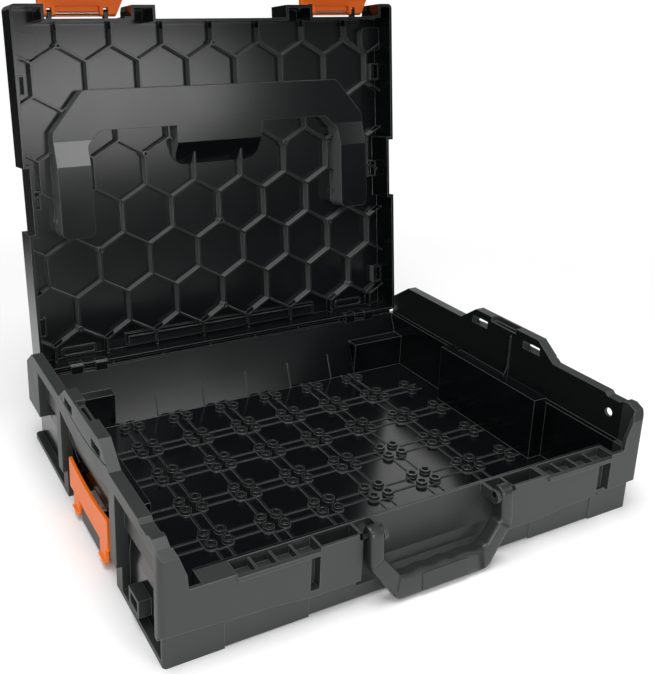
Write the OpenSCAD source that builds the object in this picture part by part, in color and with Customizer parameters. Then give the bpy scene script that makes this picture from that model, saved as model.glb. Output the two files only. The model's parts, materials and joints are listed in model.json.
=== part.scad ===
// Stackable hard tool case: a moulded tub and lid, draw latches, folding handles
// and spring-loaded side levers that hold the case below.
// Origin: centre of the foot, on the ground. +X right, +Y to the rear, +Z up.

/* [Case] */
// Overall width over the side walls
case_w = 442; // [420:1:480]
// Depth of the tub, front face to back face
case_d = 355; // [340:1:380]
// Height of the rim that the lid closes on
rim_h = 61; // [55:0.5:70]
// Height of the side walls
wing_h = 98; // [94:0.5:104]
// Height of the raised grip in each side wall
grip_h = 114; // [110:0.5:120]
// Height of the foot, which nests in the case below
foot_h = 25; // [20:0.5:30]
// How far the foot stands in from each side
foot_in_x = 4; // [2:0.5:6]
// How far the foot stands in from the front and back
foot_in_y = 4.5; // [3:0.5:6]

/* [Walls] */
// Thickness of the moulded walls
wall = 2.8; // [2:0.1:3.5]
// Thickness of the floor
floor_t = 2.6; // [2:0.1:3.5]
// Clear height under the floor
floor_lift = 2.4; // [1.5:0.1:4]
// Thickness of each side wall above the rim
wing_t = 10; // [8:0.5:11]
// Radius of the front corners
corner_r = 5; // [3:0.5:8]
// Radius of the other upright corners
small_r = 5; // [3:0.5:8]

/* [Floor pegs] */
// Spacing of the peg clusters
peg_pitch = 52; // [45:0.5:52]
// Radius of one hollow peg
peg_r = 5; // [4:0.1:6]
// Radius of the bore in a peg
peg_bore_r = 3.2; // [2:0.1:3.6]
// Height of a peg above its pad
peg_h = 3.2; // [2:0.1:6]
// Half the spacing of the pegs in a cluster
peg_off = 7.5; // [6:0.1:9]
// Height of a cluster's pad and of the floor ribs
pad_h = 1.2; // [0.8:0.1:2]

/* [Lid] */
// Height of the lid, rim to top face
lid_h = 33.2; // [30:0.1:38]
// Gap between the lid and each side wall
lid_side_gap = 3; // [2:0.5:5]
// Gap between the closed lid and the rim
lid_rim_gap = 0.3; // [0.2:0.1:0.6]
// Thickness of the lid's top plate
lid_plate = 2.5; // [2:0.1:3.5]
// Angle of the opened lid
open_angle = 97; // [80:1:98]
// Side length of the honeycomb cells
hex_side = 31; // [26:0.5:36]
// Depth of the honeycomb ribs
hex_rib_h = 9.5; // [6:0.5:12]
// Thickness of the honeycomb ribs
hex_rib_t = 1.8; // [1.2:0.1:2.5]

/* [Hinge] */
// Height of the hinge axis above the rim
hinge_up = 5.2; // [5:0.1:6]
// Distance of the hinge axis in front of the back face
hinge_in = 2.5; // [2:0.1:3.5]
// Radius of the hinge knuckles
knuckle_r = 3.6; // [3:0.1:4]
// Radius of the hinge pins
hinge_pin_r = 1.6; // [1.2:0.1:2]
// Length of one hinge knuckle
knuckle_len = 12; // [10:1:20]
// Distance of each hinge from the middle of the case
hinge_x = 160; // [120:1:165]

/* [Latches] */
// Width of a latch's straight part
latch_w = 75; // [60:1:80]
// Thickness of a latch's plate
latch_t = 2.8; // [2:0.1:3.5]
// Height of the catch edge below the rim
catch_down = 2; // [1:0.5:4]
// Height of the catch edge
catch_h = 3.4; // [2.5:0.1:5]
// How far the catch edge stands out
catch_out = 1.6; // [1.2:0.1:2.5]
// Angle at which a latch hangs while it is unlatched
latch_rest = 3; // [3:0.5:8]

/* [Handles] */
// Half the width of the front handle
handle_hw = 67; // [60:0.5:68]
// How far the front handle and its recess stand right of the middle
handle_x = 5.5; // [0:0.5:8]
// Width of the front handle's arms
handle_arm_w = 12; // [10:0.5:16]
// Thickness of the front handle
handle_t = 13; // [10:0.5:14]
// Length of the front handle from its axis
handle_len = 58; // [50:0.5:58]
// Half the width of the lid's top handle
top_handle_hw = 170; // [150:1:172]
// Width of the top handle's bars
top_handle_bar = 24; // [20:0.5:25]
// Thickness of the top handle
top_handle_t = 13; // [10:0.5:14]
// Radius of the handles' pivot pins
pin_r = 2.5; // [2:0.1:3]

/* [Side levers] */
// Length of a lever's plate
lever_len = 103; // [90:1:110]
// Height of a lever's plate
lever_h = 28; // [22:0.5:30]
// Thickness of a lever's plate
lever_t = 3; // [2.5:0.1:4]
// Radius of the lever pins
lever_pin_r = 1.5; // [1.2:0.1:2]
// Clearance beside moving parts
play = 0.3; // [0.2:0.05:0.4]
// Clearance round a pin that a part turns on
run = 0.08; // [0.02:0.02:0.1]

/* [Hidden] */
$fn = 48;
eps = 0.01;
far = 600;

// outer faces
side_x = case_w / 2;
front_y = -case_d / 2;
back_y = case_d / 2;
foot_x = side_x - foot_in_x;
wing_in_x = side_x - wing_t;
lid_x = wing_in_x - lid_side_gap;

// tub
floor_z = floor_lift + floor_t;
ledge_w = 5.5;
panel_x = side_x - 10.5;
rail_h = 4.5;
web_t = 3.4;
tub_x = wing_in_x - ledge_w;
handle_recess = 16;
tub_front_y = front_y + handle_recess + wall;
tub_back_y = back_y - 27.5;
tub_back_top_y = back_y - 4.5;
corner_cell_x = 190;
peg_y = 39;
rib_off = 5.5;
floor_rib_w = 1.8;
floor_rib_h = 1;
pad_half = 13;
pad_r = 6;
corner_rim = 3;
back_step_x = 142;
back_step_z = 40;
back_slope = (tub_back_top_y - tub_back_y) / (rim_h - floor_z);
back_step_y = tub_back_y + back_slope * (back_step_z - floor_z);

// side grip, levers and their recess
grip_y = -11;
grip_half = 66;
grip_base_half = 67;
grip_top_half = 45;
bulge_in_x = side_x - 31;
bulge_half = grip_half + wall + 0.7;
bulge_top_z = rim_h + 5;
panel_low_z = 38;
panel_high_z = 52;
wing_skin = 2.5;
recess_top_z = wing_h - 10;
post_w = 13;
back_block_y = 46.5;
grip_open_z = 86;
grip_sag = 7;
grip_wall_x = bulge_in_x + 18;

// front of the tub
recess_half = handle_hw + 3;
pocket_end_x = recess_half + 36;
catch_left = [handle_x - 170.5, handle_x - pocket_end_x + 0.5];
catch_right = [handle_x + pocket_end_x + 3, 186];
slot_w = 7.5;
slot_right_w = 14;
apron_z = foot_h - 3.3;
pocket_bottom_z = foot_h + 2;
catch_floor_z = rim_h - 9;

// hinge
hinge_y = back_y - hinge_in;
hinge_z = rim_h + hinge_up;
knuckle_clear = knuckle_r + hinge_up - 1.6;
knuckle_gap = 0.5;

// lid, drawn closed
lid_low_z = rim_h + lid_rim_gap;
lid_top_z = lid_low_z + lid_h;
lid_back_y = hinge_y;
lid_front_y = front_y + 4.5;
bump_y = front_y + 5.5;
lid_notch_y = tub_front_y - 0.2;
latch_recess_y = lid_notch_y - 0.6;
lid_gap_x = [handle_x - handle_hw - 7.5, handle_x + handle_hw + 3];
lid_wall = 2.6;
side_notch = 5.5;
side_notch_y = [-24, 39];
plate_z = lid_top_z - lid_plate;
rib_z = plate_z - hex_rib_h;
hex_row0_y = 143;
corner_block_y = -136.5;
socket_y = [-100, 10, 136];
hex_pitch = hex_side * sqrt(3);

// recess of the top handle, drawn closed
rec_out = 175;
rec_in = 142;
rec_wall = 2.4;
rec_front_y = -93.5;
rec_back_y = 48;
rec_mid_y = -54.5;
rec_step_y = [-46, -22];
rec_z = lid_top_z - 20;
rec_arm_z = lid_top_z - 27;
rec_cham_out = [32, 39];
rec_cham_in = 14;
rec_r = 7;
pocket_r = 12;
pocket_hw = 54;
pocket_y = -37;
pocket_foot_y = -13;
top_handle_y = 32;
top_handle_z = lid_top_z - 1.5 - top_handle_t / 2;

// latches, drawn latched on the closed lid
latch_x = [-176, 108];
latch_taper = 10;
latch_y = lid_notch_y - 7.3;
latch_z = lid_top_z - 6.2;
latch_barrel_r = 3.4;
latch_out_y = front_y - catch_out - 3.3;
catch_top_z = rim_h - catch_down;
catch_low_z = catch_top_z - catch_h;
latch_low_z = catch_low_z - 6;
latch_lug_t = 4;

// front handle
handle_y = front_y + 0.5;
handle_z = rim_h - 2;
handle_boss_r = handle_t / 2;
handle_tilt = 6;
ear_t = 3;
grip_hw = 42.5;

// levers
lever_plate_x = side_x - 2;
lever_low_z = 20;
lever_half = lever_len / 2;
lever_axis_x = side_x - 9.5;
lever_axis_z = lever_low_z + 4;
lever_barrel_r = 3.6;
hook_off = 36;
hook_w = 15;
hook_shift = -2.5;
hook_low_z = 6.6;
ear_gap = 0.4;
spring_w = 8;
spring_wire = 0.9;

// ------------------------------------------------------------- helpers
module box(x0, x1, y0, y1, z0, z1) {
    translate([x0, y0, z0]) cube([x1 - x0, y1 - y0, z1 - z0]);
}

// Copies a child to both sides, mirrored
module both_sides() {
    children();
    mirror([1, 0, 0]) children();
}

// Extrudes an outline drawn in (y, z) from x0 to x1
module along_x(x0, x1) {
    translate([x0, 0, 0]) rotate([90, 0, 90]) linear_extrude(x1 - x0) children();
}

// Extrudes an outline drawn in (x, z) from y0 to y1
module along_y(y0, y1) {
    translate([0, y1, 0]) rotate([90, 0, 0]) linear_extrude(y1 - y0) children();
}

// A bar along X at (y, z)
module rod_x(x0, x1, y, z, r) {
    translate([x0, y, z]) rotate([0, 90, 0]) cylinder(r = r, h = x1 - x0);
}

// A bar along Y at (x, z)
module rod_y(x, z, y0, y1, r) {
    translate([x, y1, z]) rotate([90, 0, 0]) cylinder(r = r, h = y1 - y0);
}

// A plan outline with its own radius at the front and back corners
module plan(hx, y0, y1, rf, rb) {
    translate([-hx + rf, y0]) square([2 * (hx - rf), y1 - y0]);
    translate([-hx, y0 + rf]) square([2 * hx, y1 - y0 - rf - rb]);
    translate([-hx + rb, y1 - rb]) square([2 * (hx - rb), rb]);
    for (s = [-1, 1]) {
        translate([s * (hx - rf), y0 + rf]) circle(rf);
        translate([s * (hx - rb), y1 - rb]) circle(rb);
    }
}

// ------------------------------------------------------------- tub
module wing_profile() {
    polygon([[back_y, rim_h - eps], [back_y, wing_h - 18], [back_y - 27, wing_h],
        [grip_y + grip_base_half, wing_h], [grip_y + grip_top_half, grip_h],
        [grip_y - grip_top_half, grip_h], [grip_y - grip_base_half, wing_h],
        [front_y + 37, wing_h], [front_y + 34, wing_h - 2.5],
        [front_y + 20, wing_h - 2.5], [front_y + 17, wing_h],
        [front_y + 11, wing_h + 0.5], [front_y + 4, wing_h - 3],
        [front_y, wing_h - 11], [front_y, rim_h - eps]]);
}

// Side walls, with a web that returns along the front, and a rib inside each grip
module wings() {
    rib_y = grip_y - 9;
    intersection() {
        both_sides() {
            along_x(wing_in_x, side_x) wing_profile();
            intersection() {
                along_x(0, side_x) wing_profile();
                along_y(front_y, front_y + web_t)
                    polygon([[side_x, rim_h - eps], [side_x, wing_h], [wing_in_x, wing_h - 1],
                        [wing_in_x - 5, wing_h - 12], [wing_in_x - 10, rim_h + 11],
                        [wing_in_x - 11, rim_h - eps]]);
            }
        }
        linear_extrude(far) plan(side_x, front_y, back_y, corner_r, small_r);
    }
    both_sides()
        along_y(rib_y - 0.6, rib_y + 0.6)
            polygon([[wing_in_x + 1, wing_h + 8], [wing_in_x - 1.4, wing_h + 6],
                [wing_in_x - 1.4, rim_h + 10], [tub_x, rim_h], [wing_in_x + 1, rim_h]]);
}

// Raised top of the block in the tub beside each grip, clear of the closed lid
module bulge_top() {
    inner = lid_x - lid_wall - 0.6;
    both_sides() {
        box(bulge_in_x, inner - side_notch, grip_y - bulge_half, grip_y + bulge_half,
            rim_h - 1, bulge_top_z);
        box(bulge_in_x, inner, grip_y - bulge_half, side_notch_y[0] - lid_wall - 0.6,
            rim_h - 1, bulge_top_z);
        box(bulge_in_x, inner, side_notch_y[1] + lid_wall + 0.6, grip_y + bulge_half,
            rim_h - 1, bulge_top_z);
    }
}

module tub_cavity() {
    difference() {
        union() {
            along_x(-tub_x, tub_x)
                polygon([[tub_front_y, floor_z], [tub_back_y, floor_z],
                    [tub_back_y, back_step_z], [back_step_y, back_step_z],
                    [tub_back_top_y, rim_h + eps], [tub_front_y, rim_h + eps]]);
            along_x(-back_step_x, back_step_x)
                polygon([[tub_front_y, floor_z], [tub_back_y, floor_z],
                    [tub_back_top_y, rim_h + eps], [tub_front_y, rim_h + eps]]);
            both_sides() {
                box(corner_cell_x, tub_x, front_y + corner_rim, tub_front_y + 1,
                    foot_h + wall, rim_h + eps);
                box(corner_cell_x, tub_x, front_y + foot_in_y + wall, tub_front_y + 1,
                    floor_z, foot_h + wall + 1);
            }
        }
        both_sides()
            box(bulge_in_x, side_x, grip_y - bulge_half, grip_y + bulge_half, 0, far);
    }
}

// Partitions that stiffen the hollows of the front and back walls
module partitions() {
    for (i = [-3.5:3.5])
        along_x(i * 36 - 1, i * 36 + 1)
            polygon([[tub_back_y + 1.5, 0], [back_y - foot_in_y - 1, 0],
                [back_y - foot_in_y - 1, back_step_z], [back_step_y + 1.5, back_step_z],
                [tub_back_y + 1.5, floor_z]]);
    both_sides()
        for (x = [175, 146, 118])
            box(x - 1, x + 1, front_y + foot_in_y + 2, tub_front_y - 1, 0.5, foot_h);
}

// The hollow behind the inner back wall, open underneath
module back_void() {
    along_x(-back_step_x + wall, back_step_x - wall)
        polygon([[tub_back_y + wall, -eps], [back_y - wall - foot_in_y, -eps],
            [back_y - wall - foot_in_y, foot_h], [back_y - wall, foot_h + wall],
            [back_y - wall, rim_h - 14], [tub_back_top_y - 2, rim_h - 14],
            [tub_back_y + wall + 1, floor_z + 2]]);
    both_sides()
        box(back_step_x, tub_x, tub_back_y + wall, back_y - wall - foot_in_y,
            -eps, back_step_z - wall);
}

// The hollow in the front wall, open underneath
module front_void() {
    in_y = tub_front_y - wall;
    in_x = pocket_end_x + handle_x + wall;
    both_sides() {
        box(recess_half + handle_x + wall, corner_cell_x - wall,
            front_y + foot_in_y + wall + 0.8, in_y, -eps, pocket_bottom_z - wall);
        box(in_x, corner_cell_x - wall, front_y + wall + 8, in_y, foot_h - wall,
            catch_floor_z - wall);
    }
}

// Low lip behind the lid's hinge edge, with small ribs, which also stops the open lid
module back_lip() {
    box(-tub_x, tub_x, back_y - 1.5, back_y, rim_h - 1, hinge_z - 0.5);
    for (i = [-2.5:1:2.5])
        box(i * hex_pitch - 0.6, i * hex_pitch + 0.6, back_y - 2.3, back_y - 1,
            rim_h - 1, hinge_z - 1);
}

// Small ribs on the slanted back wall
module back_ribs() {
    z1 = 30;
    for (x = [-97:peg_pitch:120])
        along_x(x - 0.6, x + 0.6)
            polygon([[tub_back_y - 1, floor_z - 0.5], [tub_back_y + 2, floor_z - 0.5],
                [tub_back_y + back_slope * (z1 - floor_z) + 1, z1],
                [tub_back_y + back_slope * (z1 - floor_z) - 0.5, z1]]);
}

// Twin raised lines that run between the peg clusters
module floor_ribs() {
    w = floor_rib_w / 2;
    for (i = [-3:2], o = [-rib_off, rib_off])
        box((i + 0.5) * peg_pitch + o - w, (i + 0.5) * peg_pitch + o + w,
            tub_front_y - 1, tub_back_y + 1, floor_z - 0.5, floor_z + floor_rib_h);
    for (i = [-3:1], o = [-rib_off, rib_off])
        box(-bulge_in_x + 1, bulge_in_x - 1, peg_y + i * peg_pitch + o - w,
            peg_y + i * peg_pitch + o + w, floor_z - 0.5, floor_z + floor_rib_h);
}

// Loop moulded on the front panel of each side
module side_loop() {
    both_sides()
        difference() {
            box(panel_x - 1, side_x - 1, -134, -114, 13, 27);
            box(panel_x + 2.5, side_x, -131.4, -116.6, 15.6, 24.4);
        }
}

// Shallow panels in each side, in front of and behind the grip
module side_panels() {
    front0 = front_y + corner_r + 4;
    front1 = grip_y - grip_half - post_w;
    back0 = grip_y + grip_half + post_w;
    back1 = back_y - back_block_y;
    outline = [[side_x + 1, rail_h], [panel_x, rail_h],
        [panel_x, panel_low_z], [tub_x + wall, panel_high_z], [tub_x + wall, rim_h - wall],
        [wing_in_x + wing_skin, rim_h - wall], [wing_in_x + wing_skin, recess_top_z],
        [side_x + 1, recess_top_z]];
    both_sides() {
        along_y(front0, front1) polygon(outline);
        along_y(back0, back1) polygon(outline);
        box(panel_x, side_x + 1, back1 - eps, back_y + 1, rail_h, panel_low_z + 4);
    }
}

// The arched lower edge of the grip band: a wide arc that sags in the middle
module sag_outline(half, z_low, z_end, sag) {
    r = (half * half + sag * sag) / (2 * sag);
    difference() {
        translate([grip_y - half, z_low]) square([2 * half, z_end - z_low]);
        translate([grip_y, z_end - sag + r]) circle(r, $fn = 180);
    }
}

module grip_recess() {
    both_sides() {
        // hand opening in the outer face
        along_x(wing_in_x + wing_skin, side_x + 1)
            sag_outline(grip_half, 0 - eps, grip_open_z, grip_sag);
        // room for the lever, in front of a slanted wall
        along_y(grip_y - grip_half, grip_y + grip_half)
            polygon([[side_x + 1, -eps], [grip_wall_x - 1, -eps], [grip_wall_x - 1, 34],
                [grip_wall_x, 38], [wing_in_x + wing_skin, rim_h - 1], [side_x + 1, rim_h]]);
        // hollow behind that wall
        along_y(grip_y - grip_half, grip_y + grip_half)
            polygon([[grip_wall_x, -eps], [bulge_in_x + wall, -eps],
                [bulge_in_x + wall, rim_h - wall], [wing_in_x - 1, rim_h - wall],
                [grip_wall_x - wall, 38], [grip_wall_x - wall, 34], [grip_wall_x, 30]]);
        // windows for the hooks of the case above
        for (s = [-1, 1])
            along_x(wing_in_x - 1, side_x + 1)
                polygon([[grip_y + s * (hook_off - 10), wing_h + 8.5],
                    [grip_y + s * (hook_off + 12), wing_h + 8.5],
                    [grip_y + s * (hook_off + 13), wing_h + 1],
                    [grip_y + s * (hook_off - 10), wing_h + 1]]);
        // shallow slot in the top between the windows
        box(wing_in_x - 1, side_x - 2.2, grip_y - 15, grip_y + 21, grip_h - 5, grip_h + 1);
        box(wing_in_x + 2, side_x - 3.4, grip_y - 12, grip_y + 18, grip_h - 10, grip_h);
        // groove that follows the arch on the outer face
        along_x(side_x - 0.8, side_x + 1)
            difference() {
                sag_outline(grip_half, grip_open_z, wing_h + 5, grip_sag);
                sag_outline(grip_half + 1, grip_open_z - 1, wing_h + 3.8, grip_sag);
            }
    }
}

// Open pockets beside the front handle, and the hollow behind each catch
module front_hollows() {
    in_y = tub_front_y - wall;
    translate([handle_x, 0, 0]) both_sides()
        box(recess_half + 2.2, pocket_end_x - 2.2, front_y + 2.4, in_y,
            pocket_bottom_z, rim_h + 1);
    for (c = [catch_left, catch_right]) {
        box(c[0], c[1], front_y + 2.4, in_y, catch_floor_z, rim_h + 1);
        box(c[0], c[1], front_y - 1, front_y + 2.5, catch_top_z, rim_h + 1);
    }
    // narrow slot at the right end of each catch
    box(catch_left[1] - slot_w, catch_left[1], front_y - 1, front_y + 8,
        pocket_bottom_z, catch_low_z);
    box(catch_right[1] - slot_right_w, catch_right[1], front_y - 1, front_y + 8,
        pocket_bottom_z, catch_low_z);
}

// The front's lower edge rises towards the corners, and the foot steps back twice
module front_steps() {
    both_sides()
        along_y(front_y - 1, front_y + foot_in_y)
            polygon([[138, foot_h - 1], [side_x + 1, foot_h - 1], [side_x + 1, foot_h + 4],
                [175, foot_h + 2], [138, foot_h]]);
    for (step = [[172, 0.8], [105, 1.6]])
        along_x(-step[0], step[0])
            polygon([[front_y, -eps], [tub_front_y - wall, -eps],
                [tub_front_y - wall, 1.2 * step[1]],
                [front_y + foot_in_y + step[1], 1.2 * step[1]],
                [front_y + foot_in_y + step[1], foot_h - 4], [front_y, foot_h - 4]]);
}

// Lower middle part of the front, which hangs over the foot
module front_apron() {
    along_y(front_y, front_y + foot_in_y + 2)
        polygon([[-138, foot_h + 0.5], [-136, foot_h - 0.2], [-107, apron_z],
            [107, apron_z], [136, foot_h - 0.2], [138, foot_h + 0.5]]);
}

module catches() {
    for (c = [catch_left, catch_right]) {
        box(c[0], c[1], front_y - catch_out, front_y + 2.4, catch_low_z, catch_top_z);
        for (i = [1:3])
            box(c[0] + i * (c[1] - c[0]) / 4 - 1, c[0] + i * (c[1] - c[0]) / 4 + 1,
                front_y + 2, tub_front_y - wall, catch_floor_z - 0.5, catch_top_z - 0.6);
    }
}

module front_handle_recess() {
    in_y = tub_front_y - wall;
    along_x(handle_x - recess_half, handle_x + recess_half)
        polygon([[front_y - 1, rim_h + 1], [in_y, rim_h + 1], [in_y, 24],
            [in_y - 4, 16], [front_y + foot_in_y + 0.5, 12], [front_y - 1, 12]]);
}

module front_handle_ears() {
    translate([handle_x, 0, 0]) both_sides()
        difference() {
            union() {
                box(handle_in_x() - ear_t - play, handle_in_x() - play, handle_y,
                    tub_front_y - wall + 1, handle_z - 7, handle_z + 2);
                rod_x(handle_in_x() - ear_t - play, handle_in_x() - play,
                    handle_y, handle_z - 2, 5.5);
            }
            rod_x(0, recess_half, handle_y, handle_z, pin_r + 0.02);
        }
}
function handle_in_x() = handle_hw - handle_arm_w;

module hinge_bores(gap) {
    for (side = [-1, 1])
        rod_x(side * hinge_x - 2 * knuckle_len, side * hinge_x + 2 * knuckle_len,
            hinge_y, hinge_z, hinge_pin_r + gap);
}

// Two outer knuckles of each hinge, standing on the back rim
module base_knuckles() {
    difference() {
        for (side = [-1, 1], i = [0, 2])
            let (x = side * hinge_x + (i - 1.5) * (knuckle_len + knuckle_gap)) {
                rod_x(x, x + knuckle_len, hinge_y, hinge_z, knuckle_r);
                box(x, x + knuckle_len, hinge_y - knuckle_r, hinge_y + hinge_in,
                    rim_h - 2, hinge_z);
            }
        hinge_bores(0.02);
    }
}

// Room in the tub for the lid's middle knuckles
module base_knuckle_room() {
    for (side = [-1, 1])
        let (x = side * hinge_x - 0.5 * (knuckle_len + knuckle_gap)) {
            rod_x(x - knuckle_gap, x + knuckle_len + knuckle_gap, hinge_y, hinge_z,
                knuckle_r + 0.5);
            intersection() {
                rod_x(x - knuckle_gap, x + knuckle_len + knuckle_gap, hinge_y, hinge_z,
                    knuckle_clear);
                box(-far, far, hinge_y - far, hinge_y, 0, far);
            }
        }
}

module peg_cluster(offsets) {
    for (o = offsets)
        translate([o[0] * peg_off, o[1] * peg_off, floor_z - 0.5])
            difference() {
                cylinder(r = peg_r, h = pad_h + peg_h + 0.5, $fn = 24);
                translate([0, 0, 0.5]) cylinder(r = peg_bore_r, h = far, $fn = 20);
            }
}

module peg_pad() {
    translate([0, 0, floor_z - 0.5])
        linear_extrude(pad_h + 0.5)
            difference() {
                offset(pad_r) square(2 * (pad_half - pad_r), center = true);
                for (x = [-1, 1], y = [-1, 1])
                    translate([x * peg_off, y * peg_off]) circle(peg_bore_r, $fn = 20);
            }
}

module pegs() {
    full = [[-1, -1], [1, -1], [-1, 1], [1, 1]];
    for (iy = [-3:1], ix = [-3:2])
        translate([(ix + 0.5) * peg_pitch, peg_y + iy * peg_pitch, 0]) {
            peg_pad();
            peg_cluster(full);
        }
    for (iy = [-2:1], s = [-1, 1])
        translate([s * 3.5 * peg_pitch, peg_y + iy * peg_pitch, 0])
            peg_cluster([[-s, -1], [-s, 1]]);
    for (ix = [-3:2])
        translate([(ix + 0.5) * peg_pitch, peg_y + 2 * peg_pitch, 0])
            peg_cluster([[-1, -1], [1, -1]]);
}

// Four shallow panels under the floor, with a flat cross between them
module underside_panels() {
    x1 = bulge_in_x - wall;
    for (s = [-1, 1]) {
        box(min(s * 8, s * x1), max(s * 8, s * x1), tub_front_y, -8, -eps, floor_lift);
        box(min(s * 8, s * x1), max(s * 8, s * x1), 8, tub_back_y, -eps, floor_lift);
    }
}

module base_shell() {
    color([0.11, 0.12, 0.12]) difference() {
        union() {
            difference() {
                union() {
                    linear_extrude(foot_h)
                        plan(foot_x, front_y + foot_in_y, back_y - foot_in_y, 3, 4);
                    translate([0, 0, foot_h]) linear_extrude(rim_h - foot_h)
                        plan(side_x, front_y, back_y, corner_r, small_r);
                    front_apron();
                    wings();
                    bulge_top();
                }
                tub_cavity();
                back_void();
                front_void();
                side_panels();
                grip_recess();
                front_hollows();
                front_handle_recess();
                underside_panels();
                front_steps();
                // small hole near the front of each side wall
                both_sides() rod_x(wing_in_x - 1, side_x + 1, front_y + 30.5, 81.5, 3.8);
            }
            catches();
            front_handle_ears();
            lever_ears();
            base_knuckles();
            partitions();
            pegs();
            floor_ribs();
            back_ribs();
            back_lip();
            side_loop();
        }
        base_knuckle_room();
        hinge_bores(0.02);
        translate([handle_x, 0, 0]) both_sides()
            rod_x(handle_in_x() - ear_t - 1, recess_half + 3, handle_y, handle_z, pin_r + 0.02);
    }
}

// ------------------------------------------------------------- lid
// Turns what is drawn on the closed case to the open position
module opened() {
    translate([0, hinge_y, hinge_z]) rotate([-open_angle, 0, 0])
        translate([0, -hinge_y, -hinge_z]) children();
}

// Plan of a latch with its slanted end, grown by g
module latch_plan(x0, g) {
    x1 = x0 + latch_w + g;
    polygon([[x0 - g, latch_y + 4 + g], [x1, latch_y + 4 + g], [x1, latch_y + 3],
        [x1 + latch_taper, latch_out_y], [x1 + latch_taper, latch_out_y - 1 - g],
        [x0 - g, latch_out_y - 1 - g]]);
}

// Plan of the room round a latch, wide enough beside its barrel for it to turn
module latch_room(x0, g) {
    x1 = x0 + latch_w + g;
    polygon([[x0 - g, latch_y + 4 + g], [x1 + 6.5, latch_y + 4 + g], [x1 + 6.5, latch_y - 1],
        [x1 + latch_taper, latch_out_y], [x1 + latch_taper, latch_out_y - 1 - g],
        [x0 - g, latch_out_y - 1 - g]]);
}

// Plan of the lid, drawn in from its edge by i
module lid_plan(i) {
    difference() {
        plan(lid_x - i, lid_front_y + i, lid_back_y - i, small_r - i, small_r - i);
        translate([lid_gap_x[0] - i, -far])
            square([lid_gap_x[1] - lid_gap_x[0] + 2 * i, far + lid_notch_y + i]);
        translate([-pocket_end_x, -far]) square([2 * pocket_end_x, far + bump_y + i]);
        for (x0 = latch_x)
            translate([x0 - 0.8 - i, -far])
                square([latch_w + 1.6 + 2 * i, far + latch_recess_y + i]);
        for (x0 = latch_x) latch_room(x0, 1 + i);
        for (s = [-1, 1])
            translate([s * (lid_x - side_notch / 2 - i / 2 + 5) - (side_notch + i) / 2 - 5,
                side_notch_y[0] - i])
                square([side_notch + i + 10, side_notch_y[1] - side_notch_y[0] + 2 * i]);
    }
}

// Centre of honeycomb cell i in row j; every other row is shifted by half a cell
function cell(i, j) = [(i + (j % 2 == 0 ? 0 : 0.5)) * hex_pitch,
    hex_row0_y - 1.5 * hex_side * (6 - j) + hex_side];

module honeycomb() {
    linear_extrude(hex_rib_h + lid_plate / 2)
        difference() {
            lid_plan(lid_wall / 2);
            for (j = [-1:8], i = [-5:4])
                translate(cell(i, j)) rotate(30)
                    circle(hex_side - hex_rib_t / sqrt(3), $fn = 6);
        }
}

// A corner of the honeycomb: row j, half-pitch index k, peak or valley
function knot(j, k, peak) = [k * hex_pitch / 2,
    hex_row0_y - 1.5 * hex_side * (6 - j) + (peak ? 0 : hex_side / 2)];
knots = [knot(0, -6, true), knot(0, 0, true), knot(0, 6, true), knot(2, -3, false),
    knot(2, 3, false), knot(4, -5, false), knot(4, 0, true), knot(4, 5, false),
    knot(6, -6, true), knot(6, 0, true), knot(6, 6, true)];

// Plan of the U-shaped handle recess, drawn in by i
module recess_plan(i) {
    right = [[rec_out - rec_cham_out[0], rec_front_y],
        [rec_out, rec_front_y + rec_cham_out[1]], [rec_out, rec_back_y], [rec_in, rec_back_y],
        [rec_in, rec_mid_y + rec_cham_in], [rec_in - rec_cham_in, rec_mid_y]];
    left = [for (n = [5:-1:0]) [-right[n][0], right[n][1]]];
    offset(delta = -i) offset(r = rec_r, $fn = 32) offset(r = -2 * rec_r, $fn = 32)
        offset(r = rec_r, $fn = 32) polygon(concat(right, left));
}

// The U, level over the cross bar and deeper under the arms, from top z down
module recess_form(i, top) {
    intersection() {
        translate([0, 0, rec_arm_z - 1]) linear_extrude(far) recess_plan(i);
        along_x(-rec_out, rec_out)
            polygon([[rec_front_y - 1, top], [rec_front_y - 1, rec_z + i],
                [rec_step_y[0], rec_z + i], [rec_step_y[1], rec_arm_z + i],
                [rec_back_y + 1, rec_arm_z + i], [rec_back_y + 1, top]]);
    }
}

// Finger pocket in the middle of the U, with a slanted end
module finger_pocket(i, top) {
    end_x = pocket_hw - 6;
    intersection() {
        along_x(-end_x, end_x)
            polygon([[rec_mid_y - 6, top], [rec_mid_y - 6, rec_z + i], [pocket_y - i / 2, rec_z + i],
                [pocket_foot_y - i, plate_z], [pocket_foot_y - i, top]]);
        translate([0, 0, rec_arm_z - 1]) linear_extrude(far)
            offset(delta = -i) offset(r = pocket_r, $fn = 32) offset(delta = -pocket_r)
                translate([-end_x, rec_mid_y - 20]) square([2 * end_x, pocket_foot_y - rec_mid_y + 20]);
    }
}

// Rounded hollow blocks in the lid's front corners
module corner_blocks() {
    for (s = [-1, 1])
        translate([s * (lid_x - 13), corner_block_y, plate_z - 9])
            linear_extrude(10) plan(13 - 0.5, -12.5, 12.5, 6, 6);
}

// Bars along the hinge edge, and the shallow frames beside them
module hinge_bars() {
    box(-113, 113, lid_back_y - 17.5, lid_back_y - 5.5, plate_z - 4, plate_z + 0.5);
    box(-110, 110, lid_back_y - 14.5, lid_back_y - 5.5, plate_z - 6, plate_z - 3);
    for (s = [-1, 1])
        translate([s * 162, lid_back_y - 8, plate_z - 1.6])
            linear_extrude(2)
                difference() {
                    plan(18, -5, 4.5, 3, 3);
                    plan(16, -3.4, 2.9, 2, 2);
                }
}

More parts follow.
